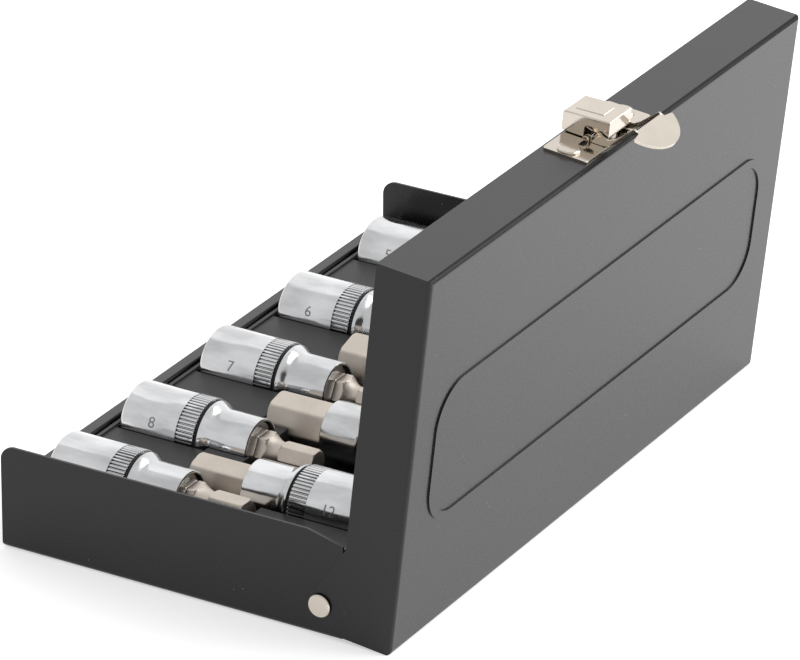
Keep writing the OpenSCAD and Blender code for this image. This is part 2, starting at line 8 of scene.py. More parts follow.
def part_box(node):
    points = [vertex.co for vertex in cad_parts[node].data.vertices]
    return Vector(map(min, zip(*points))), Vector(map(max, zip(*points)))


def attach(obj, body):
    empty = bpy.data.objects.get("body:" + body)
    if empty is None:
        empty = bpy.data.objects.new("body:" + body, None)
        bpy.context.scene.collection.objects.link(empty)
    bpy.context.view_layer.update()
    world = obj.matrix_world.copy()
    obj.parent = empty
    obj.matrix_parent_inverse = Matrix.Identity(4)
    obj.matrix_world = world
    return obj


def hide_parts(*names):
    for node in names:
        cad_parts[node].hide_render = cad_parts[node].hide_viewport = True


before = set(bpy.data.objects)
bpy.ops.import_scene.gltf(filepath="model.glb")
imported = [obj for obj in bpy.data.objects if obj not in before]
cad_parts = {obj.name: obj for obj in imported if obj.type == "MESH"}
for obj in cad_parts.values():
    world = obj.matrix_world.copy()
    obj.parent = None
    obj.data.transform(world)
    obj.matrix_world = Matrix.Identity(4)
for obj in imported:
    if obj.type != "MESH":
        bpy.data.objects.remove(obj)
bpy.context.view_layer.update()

bl_info = {
    "name": "Socket Case",
    "version": (1, 0, 0),
    "blender": (4, 5, 0),
    "location": "View3D > Sidebar > Socket Case",
    "description": "Dresses a hinged steel case of hex-bit sockets",
    "category": "Object",
}

MM = 0.001

# sockets: front row a, rear row b, bit sizes in millimetres, how each hex is rolled in degrees

FRONT = ["a1", "a2", "a3", "a4", "a5"]
REAR = ["b1", "b2", "b3", "b4"]
SIZES = {
    "a1": "10", "a2": "8", "a3": "7", "a4": "6", "a5": "5",
    "b1": "12", "b2": "14", "b3": "17", "b4": "19",
}
ROLL = {
    "a1": 0, "a2": 0, "a3": 0, "a4": 30, "a5": 0,
    "b1": 45, "b2": 49.5, "b3": 45, "b4": 30,
}
AXIS_H = 15.05 * MM
BODY_L = 27.2 * MM
BODY_R = 11.9 * MM
BAND_END = BODY_L - 0.65 * MM
GROOVE = (0.12 * MM, 1.08 * MM)
SOCKET_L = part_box("socket_a1")[1][1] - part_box("socket_a1")[0][1]
WHOLE_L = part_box("bit_a1")[1][1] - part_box("socket_a1")[0][1]
HEX_FLOOR = 24 * MM
RECESS_FRONT = 1.2 * MM
RECESS_REAR = 3 * MM
ROUND_STEPS = 300
UNCUT = 1.0

# angles in degrees: edges that bend more than this are rounded, or shaded sharp

ROUNDED = 34
ROUNDED_TRAY = 40
ROUNDED_HOOD = 40
ROUNDED_RIVET = 30
SHARP = 35
SHARP_TURNED = 33
SHARP_DIGIT = 60

# size numbers: place from the driving end, lean round the body, radius just above it

DIGITS_AT = 11.5 * MM
DIGITS_LEAN = 18
DIGITS_R = BODY_R + 0.03 * MM
TEXT_PER_DIGIT = 1.4

# most of a noise lies in this span

NOISE_SPAN = (0.3, 0.7)

# colours of wear and dust, and of the painted shade that darkens grooves and corners

DUST = (0.3, 0.3, 0.3)
WORN_PLASTIC = (0.07, 0.07, 0.072)
WORN_STEEL = (0.8, 0.74, 0.68)
WORN_NICKEL = (0.72, 0.68, 0.63)
# the next three are colours of painted shade laid into grooves and corners
CHROME_SHADE = (0.03, 0.03, 0.032)
STEEL_SHADE = (0.09, 0.08, 0.07)
NICKEL_SHADE = (0.06, 0.05, 0.04)

# stage: lamps aimed at the origin, and the camera's axes and place from the perspective fit

LAMPS = {
    "sky_box": {"place": (-1.5, -0.71, 0.98), "size": 3.0, "power": 10.5},
    "back_light": {"place": (-0.52, 0.78, 0.72), "size": 1.0, "power": 14.0},
}
CAMERA_RIGHT = (-0.50273, 0.86442, 0.00588)
CAMERA_DOWN = (0.36762, 0.21995, -0.90359)
CAMERA_AT = (1.5484, 0.9074, 0.8915)
SENSOR = 36
CLIP = (0.1, 60)
FLOOR_SIZE = 6
FLOOR_DROP = 0.05 * MM


# properties

def colour(name, text, value):
    return bpy.props.FloatVectorProperty(
        name=name, description=text, subtype="COLOR", size=3, default=value, min=0, max=1)


def length(name, text, value):
    return bpy.props.FloatProperty(name=name, description=text, default=value, unit="LENGTH")


class CaseLook(bpy.types.PropertyGroup):
    """Paint and edges of base and lid"""
    paint: colour("Paint", "Charcoal paint of base and lid", (0.006, 0.0058, 0.0066))
    worn: colour("Worn paint", "Paint polished along the edges", (0.06, 0.06, 0.062))
    edge: length("Edge rounding", "Rounding of cut sheet edges", 0.22 * MM)
    plastic: colour("Insert", "Moulded plastic of the insert", (0.024, 0.0235, 0.024))
    tray_edge: length("Insert rounding", "Rounding of the insert's edges", 0.4 * MM)


class SocketLook(bpy.types.PropertyGroup):
    """Grip band, chrome and bits"""
    flutes: bpy.props.IntProperty(
        name="Flutes", description="Ridges round the grip band", default=60, min=12)
    band_l: length("Band length", "Length of the grip band", 6.1 * MM)
    ridge: length("Ridge height", "Height of a ridge over its groove", 0.5 * MM)
    chrome: colour("Chrome", "Chrome plate of the sockets", (0.70, 0.705, 0.715))
    steel: colour("Bit steel", "Warm satin plate of the bits", (0.56, 0.505, 0.45))
    digits: length("Digit height", "Height of the size numbers", 3.6 * MM)


class LatchLook(bpy.types.PropertyGroup):
    """Nickel plate of latch and rivets"""
    nickel: colour("Nickel", "Bright nickel plate", (0.58, 0.525, 0.46))
    edge: length("Edge rounding", "Rounding of the latch's stamped edges", 0.18 * MM)
    rivet_edge: length("Rivet rounding", "Rounding of the rivets' heads", 0.12 * MM)


class StageLook(bpy.types.PropertyGroup):
    """Floor, light and camera"""
    floor: colour("Floor", "Plain pale floor", (0.7, 0.7, 0.7))
    surround: bpy.props.FloatProperty(
        name="Surround light", description="Strength of the white surround", default=0.86)
    lens: bpy.props.FloatProperty(
        name="Lens", description="Focal length in millimetres", default=286.66)


# node helpers

class Tree:
    """A node tree with short calls for nodes and links."""

    def __init__(self, tree):
        self.tree = tree

    def add(self, kind, **values):
        node = self.tree.nodes.new(kind)
        for key, value in values.items():
            if hasattr(node, key):
                setattr(node, key, value)
            else:
                node.inputs[key.replace("_", " ")].default_value = value
        return node

    def link(self, a, b):
        self.tree.links.new(a, b)

    def math(self, op, a, b=None, clamp=False):
        node = self.add("ShaderNodeMath", operation=op, use_clamp=clamp)
        for i, v in enumerate((a, b)):
            if v is None:
                continue
            if isinstance(v, (int, float)):
                node.inputs[i].default_value = v
            else:
                self.link(v, node.inputs[i])
        return node.outputs[0]

    def ramp(self, value, low, high, to_low=0.0, to_high=1.0):
        node = self.add("ShaderNodeMapRange", clamp=True)
        self.link(value, node.inputs["Value"])
        limits = {"From Min": low, "From Max": high, "To Min": to_low, "To Max": to_high}
        for key, v in limits.items():
            node.inputs[key].default_value = v
        return node.outputs["Result"]

    def noise(self, coords, scale, detail=3.0):
        node = self.add("ShaderNodeTexNoise", Scale=scale, Detail=detail)
        self.link(coords, node.inputs["Vector"])
        return node.outputs["Fac"]

    def mix(self, factor, a, b):
        node = self.add("ShaderNodeMix", data_type="RGBA")
        self.link(factor, node.inputs[0])
        for i, v in ((6, a), (7, b)):
            if isinstance(v, (tuple, list)):
                node.inputs[i].default_value = (*v[:3], 1)
            else:
                self.link(v, node.inputs[i])
        return node.outputs[2]

    def toned(self, coords, scale, detail, tint, darker, lighter):
        """The tint, drifting a little darker and lighter in soft patches."""
        tone = self.ramp(self.noise(coords, scale, detail), *NOISE_SPAN)
        return self.mix(tone, [c * darker for c in tint], [c * lighter for c in tint])


def shared_group(name, inputs, outputs, build):
    """A shader node group with named inputs and outputs, built once."""
    group = bpy.data.node_groups.get(name)
    if group:
        return group
    group = bpy.data.node_groups.new(name, "ShaderNodeTree")
    for label, default in inputs:
        socket = group.interface.new_socket(label, in_out="INPUT", socket_type="NodeSocketFloat")
        socket.default_value = default
    for label, kind in outputs:
        group.interface.new_socket(label, in_out="OUTPUT", socket_type=kind)
    t = Tree(group)
    build(t, t.add("NodeGroupInput").outputs, t.add("NodeGroupOutput").inputs)
    return group


def edge_wear():
    """Mask of edges rubbed bright, broken up by noise."""
    def build(t, given, out):
        soft = t.add("ShaderNodeBevel", samples=6)
        t.link(given["Reach"], soft.inputs["Radius"])
        hard = t.add("ShaderNodeNewGeometry")
        dot = t.add("ShaderNodeVectorMath", operation="DOT_PRODUCT")
        t.link(soft.outputs[0], dot.inputs[0])
        t.link(hard.outputs["Normal"], dot.inputs[1])
        bent = t.ramp(dot.outputs["Value"], 0.995, 0.86)
        coords = t.add("ShaderNodeTexCoord").outputs["Object"]
        patches = t.ramp(t.noise(coords, 260, 4), 0.42, 0.62)
        worn = t.math("MULTIPLY", bent, patches)
        t.link(t.math("MULTIPLY", worn, given["Amount"], clamp=True), out["Mask"])
    inputs = [("Reach", 0.4 * MM), ("Amount", 0.6)]
    return shared_group("edge wear", inputs, [("Mask", "NodeSocketFloat")], build)


def fine_grain():
    """Small even grain as a normal and a mask."""
    def build(t, given, out):
        coords = t.add("ShaderNodeTexCoord").outputs["Object"]
        grain = t.add("ShaderNodeTexNoise", Detail=2.0)
        t.link(coords, grain.inputs["Vector"])
        t.link(given["Scale"], grain.inputs["Scale"])
        bump = t.add("ShaderNodeBump", Distance=0.1 * MM)
        t.link(given["Depth"], bump.inputs["Strength"])
        t.link(grain.outputs["Fac"], bump.inputs["Height"])
        t.link(bump.outputs[0], out["Normal"])
        t.link(grain.outputs["Fac"], out["Mask"])
    outputs = [("Normal", "NodeSocketVector"), ("Mask", "NodeSocketFloat")]
    return shared_group("fine grain", [("Scale", 900), ("Depth", 0.1)], outputs, build)


def dust_specks():
    """Mask of a few tiny pale specks."""
    def build(t, given, out):
        coords = t.add("ShaderNodeTexCoord").outputs["Object"]
        cells = t.add("ShaderNodeTexVoronoi", feature="F1")
        t.link(coords, cells.inputs["Vector"])
        t.link(given["Density"], cells.inputs["Scale"])
        near = t.ramp(cells.outputs["Distance"], 0.05, 0.035)
        rare = t.ramp(t.noise(coords, 70, 1), 0.6, 0.64)
        t.link(t.math("MULTIPLY", near, rare), out["Mask"])
    return shared_group("dust specks", [("Density", 260)], [("Mask", "NodeSocketFloat")], build)


def crevice_shade():
    """Mask of narrow grooves and corners, found by occlusion, where shade is painted in."""
    def build(t, given, out):
        # painted shade: occlusion picks the hollows that are to be darkened
        hollow = t.add("ShaderNodeAmbientOcclusion", samples=8, only_local=True)
        t.link(given["Reach"], hollow.inputs["Distance"])
        deep = t.ramp(hollow.outputs["AO"], 0.78, 0.42)
        t.link(t.math("MULTIPLY", deep, given["Amount"], clamp=True), out["Mask"])
    inputs = [("Reach", 0.8 * MM), ("Amount", 1.0)]
    return shared_group("crevice shade", inputs, [("Mask", "NodeSocketFloat")], build)


def use_group(t, group, **values):
    node = t.add("ShaderNodeGroup")
    node.node_tree = group
    for key, value in values.items():
        node.inputs[key].default_value = value
    return node.outputs


def new_finish(name, **shader):
    """A material with one Principled shader, its constant sockets set."""
    mat = bpy.data.materials.new(name)
    mat.use_nodes = True
    mat.node_tree.nodes.clear()
    t = Tree(mat.node_tree)
    body = t.add("ShaderNodeBsdfPrincipled")
    for key, value in shader.items():
        body.inputs[key.replace("_", " ")].default_value = value
    t.link(body.outputs[0], t.add("ShaderNodeOutputMaterial").inputs[0])
    coords = t.add("ShaderNodeTexCoord").outputs["Object"]
    return mat, t, body, coords


def self_facing(t, axes):
    """How far the surface faces along the named axes in the pose at rest."""
    split = t.add("ShaderNodeSeparateXYZ")
    t.link(t.add("ShaderNodeTexCoord").outputs["Normal"], split.inputs[0])
    return [split.outputs[axis] for axis in axes]


# materials

def charcoal_paint(look):
    """Satin paint that shines less on the ends, and least where it faces both back and up."""
    mat, t, body, coords = new_finish("charcoal paint", IOR=1.5)
    base = t.toned(coords, 14, 3, look.paint, 0.85, 1.2)
    worn = use_group(t, edge_wear(), Reach=0.4 * MM, Amount=0.2)["Mask"]
    dust = use_group(t, dust_specks(), Density=300)["Mask"]
    base = t.mix(worn, base, list(look.worn))
    t.link(t.mix(dust, base, DUST), body.inputs["Base Color"])
    side, y, z = self_facing(t, ("X", "Y", "Z"))
    fold = t.ramp(t.math("MINIMUM", y, z), 0.12, 0.35, to_low=0.5, to_high=0.1)
    ends = t.ramp(t.math("ABSOLUTE", side), 0.5, 0.9, to_low=1, to_high=0.68)
    t.link(t.math("MULTIPLY", fold, ends), body.inputs["Specular IOR Level"])
    grain = use_group(t, fine_grain(), Scale=900, Depth=0.002)
    rough = t.ramp(grain["Mask"], *NOISE_SPAN, to_low=0.265, to_high=0.29)
    t.link(t.math("ADD", rough, t.math("MULTIPLY", dust, 0.4)), body.inputs["Roughness"])
    t.link(grain["Normal"], body.inputs["Normal"])


def moulded_plastic(look):
    """Dull plastic with a fine moulded grain."""
    mat, t, body, coords = new_finish("moulded plastic", IOR=1.42, Specular_IOR_Level=0.34)
    base = t.toned(coords, 22, 3, look.plastic, 0.8, 1.25)
    worn = use_group(t, edge_wear(), Reach=0.6 * MM, Amount=0.3)["Mask"]
    dust = use_group(t, dust_specks(), Density=380)["Mask"]
    base = t.mix(worn, base, WORN_PLASTIC)
    t.link(t.mix(dust, base, DUST), body.inputs["Base Color"])
    grain = use_group(t, fine_grain(), Scale=1700, Depth=0.08)
    rough = t.ramp(t.noise(coords, 45), 0.35, 0.65, to_low=0.36, to_high=0.48)
    t.link(rough, body.inputs["Roughness"])
    t.link(grain["Normal"], body.inputs["Normal"])


def polished_chrome(look):
    """Mirror plate with a slight wave, haze along the body and painted shade in its grooves, less on
    faces that look up.
    """
    mat, t, body, coords = new_finish("polished chrome", Metallic=1.0)
    drawn_out = (1, 0.35, 1)
    stretch = t.add("ShaderNodeMapping", Scale=drawn_out)
    t.link(coords, stretch.inputs[0])
    haze = t.ramp(t.noise(stretch.outputs[0], 150), 0.36, 0.64)
    plate = t.mix(haze, list(look.chrome), [c * 0.74 for c in look.chrome])
    # painted shade: grooves and corners darkened, half as much where the surface faces up
    shade = use_group(t, crevice_shade(), Reach=0.9 * MM, Amount=0.92)["Mask"]
    less_facing_up = t.ramp(self_facing(t, ("Z",))[0], 0.3, 0.9, to_low=1, to_high=0.5)
    t.link(t.mix(t.math("MULTIPLY", shade, less_facing_up), plate, CHROME_SHADE), body.inputs["Base Color"])
    t.link(t.ramp(haze, 0, 1, to_low=0.1, to_high=0.2), body.inputs["Roughness"])
    wave = t.add("ShaderNodeBump", Strength=0.5, Distance=1.3 * MM)
    t.link(t.noise(stretch.outputs[0], 120, 1.5), wave.inputs["Height"])
    grain = t.add("ShaderNodeBump", Strength=0.03, Distance=0.03 * MM)
    t.link(t.noise(coords, 2600, 2), grain.inputs["Height"])
    t.link(wave.outputs[0], grain.inputs["Normal"])
    t.link(grain.outputs[0], body.inputs["Normal"])


def satin_steel(look):
    """Warm satin plate, brighter along rubbed edges, with painted shade in its hollows."""
    mat, t, body, coords = new_finish("satin bit steel", Metallic=1.0)
    base = t.toned(coords, 120, 4, look.steel, 0.93, 1.05)
    worn = use_group(t, edge_wear(), Reach=0.3 * MM, Amount=0.5)["Mask"]
    base = t.mix(worn, base, WORN_STEEL)
    # painted shade: the bit's hollows and corners darkened
    shade = use_group(t, crevice_shade(), Reach=0.5 * MM, Amount=0.5)["Mask"]
    t.link(t.mix(shade, base, STEEL_SHADE), body.inputs["Base Color"])
    specks = use_group(t, dust_specks(), Density=420)["Mask"]
    grain = use_group(t, fine_grain(), Scale=2400, Depth=0.12)
    rough = t.ramp(grain["Mask"], *NOISE_SPAN, to_low=0.42, to_high=0.52)
    t.link(t.math("ADD", rough, t.math("MULTIPLY", specks, 0.3)), body.inputs["Roughness"])
    t.link(grain["Normal"], body.inputs["Normal"])


def bright_nickel(look):
    """Smooth warm nickel with painted shade in its corners."""
    mat, t, body, coords = new_finish("bright nickel", Metallic=1.0)
    base = t.toned(coords, 90, 4, look.nickel, 0.95, 1.04)
    worn = use_group(t, edge_wear(), Reach=0.3 * MM, Amount=0.4)["Mask"]
    base = t.mix(worn, base, WORN_NICKEL)
    # painted shade: corners and crevices of the latch darkened
    shade = use_group(t, crevice_shade(), Reach=0.8 * MM, Amount=0.8)["Mask"]
    t.link(t.mix(shade, base, NICKEL_SHADE), body.inputs["Base Color"])
    grain = use_group(t, fine_grain(), Scale=700, Depth=0.05)
    rough = t.ramp(t.noise(coords, 150), 0.35, 0.7, to_low=0.1, to_high=0.16)
    t.link(rough, body.inputs["Roughness"])
    t.link(grain["Normal"], body.inputs["Normal"])


def mottled(name, scale, dark, pale, smooth, rough, **shader):
    """A plain finish that wanders between two colours and two roughnesses."""
    mat, t, body, coords = new_finish(name, **shader)
    tone = t.ramp(t.noise(coords, scale), *NOISE_SPAN)
    t.link(t.mix(tone, dark, pale), body.inputs["Base Color"])
    t.link(t.ramp(tone, 0, 1, to_low=smooth, to_high=rough), body.inputs["Roughness"])


def groove_shade():
    """Near-black finish laid in the groove beside the grip band: painted shade."""
    dark, pale = (0.008, 0.008, 0.009), (0.035, 0.034, 0.035)
    mottled("groove shade", 500, dark, pale, 0.4, 0.6, Specular_IOR_Level=0.2)


def etched_digits():
    """Dull etched metal of the size numbers."""
    dark, pale = (0.16, 0.16, 0.17), (0.3, 0.3, 0.31)
    mottled("etched digits", 900, dark, pale, 0.35, 0.5, Metallic=1.0)


def pale_floor(look):
    """Nearly white floor that glows a little, so its shadows stay light."""
    mat, t, body, coords = new_finish(
        "pale floor", Roughness=0.9, Emission_Color=(1, 1, 1, 1), Emission_Strength=0.46)
    t.link(t.toned(coords, 3, 2, look.floor, 0.99, 1), body.inputs["Base Color"])


def finish_of(name):
    return bpy.data.materials[name]


# mesh helpers

def put(name, bm, material, body, sharp=SHARP):
    """A new piece at the origin from a bmesh, riding on a body."""
    mesh = bpy.data.meshes.new(name)
    bm.to_mesh(mesh)
    bm.free()
    mesh.materials.append(finish_of(material))
    mesh.shade_smooth()
    mesh.set_sharp_from_angle(angle=math.radians(sharp))
    obj = bpy.data.objects.new(name, mesh)
    bpy.context.scene.collection.objects.link(obj)
    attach(obj, body)
    return obj


def clean_copy(node):
    """The node's solid as one joined bmesh with its flat faces whole."""
    joined = 0.002 * MM
    flat = math.radians(0.6)
    bm = bmesh.new()
    bm.from_mesh(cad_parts[node].data)
    bmesh.ops.remove_doubles(bm, verts=bm.verts, dist=joined)
    bmesh.ops.dissolve_limit(
        bm, angle_limit=flat, use_dissolve_boundaries=False, verts=bm.verts, edges=bm.edges)
    return bm


def sharp_edges(bm, degrees, keep):
    """Edges between two faces that bend more than the angle and that keep() says yes to."""
    bent = math.radians(degrees)
    whole = [e for e in bm.edges if len(e.link_faces) == 2]
    return [e for e in whole if e.calc_face_angle(0) > bent and keep(e)]


def round_off(bm, width, segments, degrees, keep=lambda e: True):
    edges = sharp_edges(bm, degrees, keep)
    if edges:
        bmesh.ops.bevel(
            bm, geom=edges, offset=width, segments=segments, profile=0.5,
            affect="EDGES", clamp_overlap=True, material=-1)


def stand_in(node, bm, material, body):
    """The shape in the bmesh, shown in place of the node."""
    obj = put(node + "_soft", bm, material, body)
    obj.modifiers.new("even shading", "WEIGHTED_NORMAL").keep_sharp = True
    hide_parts(node)


def softened(node, body, material, width, degrees=ROUNDED):
    """Stands for a node: the same solid with its edges rounded."""
    bm = clean_copy(node)
    round_off(bm, width, 2, degrees)
    stand_in(node, bm, material, body)


def repaint(node, material):
    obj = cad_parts[node]
    obj.data.materials.clear()
    obj.data.materials.append(finish_of(material))


def socket_place(name):
    """(centre line's X, driving end's Y, direction along Y) of a socket."""
    lo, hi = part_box("socket_" + name)
    front = name in FRONT
    return (lo[0] + hi[0]) / 2, lo[1] if front else hi[1], 1 if front else -1


# outlines: each gives the distance from the axis for an angle, and UNCUT is past any corner

def round_at(r):
    return lambda turn: r


def square_at(half, limit=UNCUT):
    """Distance to a square's wall, its corners cut by a circle."""
    return lambda turn: min(half / max(abs(math.cos(turn)), abs(math.sin(turn))), limit)


def hex_at(half, roll, limit=UNCUT):
    """Distance to a hexagon's wall, its corners cut by a circle."""
    def reach(turn):
        part = (math.degrees(turn) - roll) % 60 - 30
        return min(half / math.cos(math.radians(part)), limit)
    return reach


def flutes_at(low, high, count):
    """Ridges with wide flat tops and narrow grooves between them."""
    ridge_from, ridge_to = 0.1, 0.74

    def reach(turn):
        part = turn * count / (2 * math.pi) % 1
        return high if ridge_from < part < ridge_to else low
    return reach


# turned pieces

def turned(rows):
    """A closed body drawn out ring by ring; a row is a height and its outline.

    Each angle is nudged a hair, so that no point falls just on the side of a ridge.
    """
    nudge = 1e-7
    bm = bmesh.new()
    ring = bmesh.ops.create_circle(bm, cap_ends=True, segments=ROUND_STEPS, radius=1)["verts"]
    edges = list(bm.edges)
    for i, (height, reach) in enumerate(rows):
        if i:
            made = bmesh.ops.extrude_edge_only(bm, edges=edges)["geom"]
            ring = {g for g in made if isinstance(g, bmesh.types.BMVert)}
            sides = [g for g in made if isinstance(g, bmesh.types.BMEdge)]
            edges = [e for e in sides if ring.issuperset(e.verts)]
        for v in ring:
            step = round(math.atan2(v.co.y, v.co.x) * ROUND_STEPS / (2 * math.pi))
            turn = 2 * math.pi * step / ROUND_STEPS
            r = reach(turn + nudge)
            v.co = Vector((r * math.cos(turn), r * math.sin(turn), height))
    bmesh.ops.edgeloop_fill(bm, edges=edges)
    bmesh.ops.recalc_face_normals(bm, faces=bm.faces)
    return bm


def seat(bm, name):
    """Lays a turned body in its pocket, its driving end first."""
    x, y, way = socket_place(name)
    lay = Matrix.Rotation(-math.pi / 2, 3, "X")
    bmesh.ops.rotate(bm, cent=(0, 0, 0), matrix=lay, verts=bm.verts)
    if way < 0:
        about = Matrix.Rotation(math.pi, 3, "Z")
        bmesh.ops.rotate(bm, cent=(0, 0, 0), matrix=about, verts=bm.verts)
    bmesh.ops.translate(bm, vec=(x, y, AXIS_H), verts=bm.verts)


def across_flats(name):
    return MM * float(SIZES[name])


def shank_half(name):
    """Half the width of the hex that sits in the socket."""
    if name in REAR:
        return 6 * MM
    return max(5.5 * MM, across_flats(name) / 2 + 1 * MM)


def hex_corner(half):
    """Distance from the axis to a hexagon's corner."""
    return half * 2 / math.sqrt(3)


def drive_rows():
    """The driving square from its floor out to its rounded mouth, and the end's rounded rim."""
    half = 6.45 * MM
    square = [
        (15.5 * MM, square_at(half)),
        (1.3 * MM, square_at(half)),
        (0.5 * MM, square_at(half + 0.5 * MM, 8.6 * MM)),
        (0, square_at(half + 1.1 * MM, 8.7 * MM)),
    ]
    rim = [(0, 10.9), (0.25, 11.3), (0.8, 11.75), (1.3, 11.9)]
    return square + [(z * MM, round_at(r * MM)) for z, r in rim]


def band_rows(look):
    """The fluted grip band with its ends led in, and the groove beside it."""
    high = BODY_R - 0.02 * MM
    low = high - look.ridge
    eased = flutes_at(low, high - 0.12 * MM, look.flutes)
    full = flutes_at(low, high, look.flutes)
    start = BAND_END - look.band_l
    groove = [(0.1, 10.9), (1.1, 10.8), (1.25, 11.4)]
    return [
        (start - 0.1 * MM, round_at(BODY_R)),
        (start, eased),
        (start + 0.2 * MM, full),
        (BAND_END - 0.2 * MM, full),
        (BAND_END, eased),
    ] + [(BAND_END + z * MM, round_at(r * MM)) for z, r in groove]


def neck_rows(roll, half_af, recess):
    """The waist down to the neck, its end sunk by the recess, and the hex hole to its floor."""
    waist = [
        (0.8, 11.5), (1.1, 11.48), (1.5, 11.3), (2, 11.02), (2.7, 10.56),
        (3.3, 10.14), (3.9, 9.8), (4.4, 9.65), (4.9, 9.6),
    ]
    rim = [(0.6, 9.6), (0.25, 9.52), (0.06, 9.32), (0, 9.1), (0, 8.75), (0.15, 8.6)]
    hole = hex_at(half_af + 0.02 * MM, roll)
    rows = [(BODY_L + z * MM, round_at(r * MM)) for z, r in waist]
    rows += [(SOCKET_L - z * MM, round_at(r * MM)) for z, r in rim]
    return rows + [
        (SOCKET_L - recess, round_at(8.6 * MM)),
        (SOCKET_L - recess, hole),
        (HEX_FLOOR - 0.02 * MM, hole),
    ]


def tip_rows(half, roll, corner):
    """The last millimetre of the hex, its end led in all round."""
    end = WHOLE_L
    return [
        (end - 1 * MM, hex_at(half, roll, corner)),
        (end - 0.45 * MM, hex_at(half, roll, corner - 0.2 * MM)),
        (end - 0.15 * MM, hex_at(half, roll, corner - 0.45 * MM)),
        (end, hex_at(half - 0.12 * MM, roll, corner - 0.75 * MM)),
        (end, hex_at(half * 0.6, roll, corner * 0.6)),
    ]


def slim_rows(across, roll, af):
    """A hex collar cut round by a thin slice, a hollow throat and a slender hex.

    The throat bends in from the collar's led-in corners, and the slender hex starts with a
    rounded shoulder. af is half the width of the collar.
    """
    half = across / 2
    corner = hex_corner(half) - 0.08 * MM
    wide = hex_corner(af) - 0.1 * MM
    cut = SOCKET_L + 0.9 * MM
    cut_end = cut + 0.3 * MM
    cut_floor = round_at(af - 0.5 * MM)
    cut_rim = hex_at(af - 0.1 * MM, roll, wide - 0.4 * MM)
    collar = hex_at(af, roll, wide)
    start = SOCKET_L + 4.2 * MM
    first = wide - 0.7 * MM
    rows = [
        (HEX_FLOOR, hex_at(af, roll)),
        (cut - 0.3 * MM, collar),
        (cut, cut_rim),
        (cut, cut_floor),
        (cut_end, cut_floor),
        (cut_end, cut_rim),
        (cut_end + 0.3 * MM, collar),
        (start - 0.5 * MM, collar),
        (start - 0.2 * MM, hex_at(af - 0.02 * MM, roll, wide - 0.35 * MM)),
        (start, hex_at(af - 0.1 * MM, roll, first)),
    ]
    throat_l, throat_steps, throat_bend = 4 * MM, 16, 1.9
    narrow = 0.97 * half
    for i in range(throat_steps):
        u = (i + 1) / throat_steps
        throat = narrow + (first - narrow) * (1 - u) ** throat_bend
        rows.append((start + u * throat_l, hex_at(af - 0.1 * MM, roll, throat)))
    shoulder_l, shoulder_steps = 0.9 * MM, 8
    for i in range(shoulder_steps):
        u = (i + 1) / shoulder_steps
        shoulder = narrow + (corner - narrow) * math.sin(u * math.pi / 2)
        rows.append((start + throat_l + u * shoulder_l, hex_at(half, roll, shoulder)))
    return rows + tip_rows(half, roll, corner)


def stout_rows(across, roll, af):
    """A ring plate in the neck's rim and a hex that starts against it."""
    neck = SOCKET_L
    half = across / 2
    corner = hex_corner(half) - 0.1 * MM
    plate_r = 8.15 * MM
    rows = [
        (HEX_FLOOR, hex_at(af, roll)),
        (neck - 2.98 * MM, hex_at(af, roll)),
        (neck - 2.95 * MM, round_at(plate_r)),
        (neck - 0.2 * MM, round_at(plate_r)),
        (neck + 0.05 * MM, round_at(8.0 * MM)),
        (neck + 0.1 * MM, round_at(min(7.9 * MM, corner - 0.5 * MM))),
        (neck + 0.1 * MM, hex_at(half - 0.3 * MM, roll, corner - 0.6 * MM)),
        (neck + 0.3 * MM, hex_at(half - 0.08 * MM, roll, corner - 0.3 * MM)),
        (neck + 0.7 * MM, hex_at(half, roll, corner)),
    ]
    return rows + tip_rows(half, roll, corner)


# operators

class CASE_OT_finishes(bpy.types.Operator):
    """Builds the finishes of the case and its pieces"""
    bl_idname = "case.finishes"
    bl_label = "Finishes"

    def execute(self, context):
        s = context.scene
        charcoal_paint(s.case_look)
        moulded_plastic(s.case_look)
        polished_chrome(s.socket_look)
        satin_steel(s.socket_look)
        bright_nickel(s.latch_look)
        groove_shade()
        etched_digits()
        return {"FINISHED"}


class CASE_OT_shells(bpy.types.Operator):
    """Base and lid of painted sheet steel with rounded cut edges"""
    bl_idname = "case.shells"
    bl_label = "Base and lid"

    def execute(self, context):
        look = context.scene.case_look
        softened("base_shell", "case", "charcoal paint", look.edge)
        softened("lid_shell", "lid", "charcoal paint", look.edge)
        return {"FINISHED"}


class CASE_OT_insert(bpy.types.Operator):
    """Moulded insert with softened edges"""
    bl_idname = "case.insert"
    bl_label = "Insert"

    def execute(self, context):
        look = context.scene.case_look
        softened("insert_tray", "case", "moulded plastic", look.tray_edge, ROUNDED_TRAY)
        return {"FINISHED"}


class CASE_OT_latch(bpy.types.Operator):
    """Latch plate, lever, hood, pins and spring"""
    bl_idname = "case.latch"
    bl_label = "Latch"

    def execute(self, context):
        edge = context.scene.latch_look.edge
        for node, body in (("latch_plate", "lid"), ("latch_lever", "lever"), ("latch_keeper", "case")):
            softened(node, body, "bright nickel", edge)
        self.hood(edge)
        for node in ("lever_pin", "hood_pin", "latch_spring"):
            repaint(node, "bright nickel")
        return {"FINISHED"}

    def hood(self, edge):
        """The hood, its raised face's rim and long outer folds rounded more than the rest."""
        rim_edge = 1.5 * edge
        fold_edge = 2.6 * edge
        long_fold = 12.5 * MM
        square_bend = 60
        nearly_level = 0.8

        def outer(e):
            return e.calc_length() > long_fold and e.is_convex

        bm = clean_copy("latch_hood")
        upward = [f for f in bm.faces if f.normal.z > nearly_level]
        raised = max(upward, key=lambda f: f.calc_center_median().z)
        rim = set(raised.edges)
        round_off(bm, rim_edge, 3, square_bend, lambda e: e in rim)
        round_off(bm, fold_edge, 3, square_bend, outer)
        round_off(bm, edge, 2, ROUNDED_HOOD)
        stand_in("latch_hood", bm, "bright nickel", "hood")


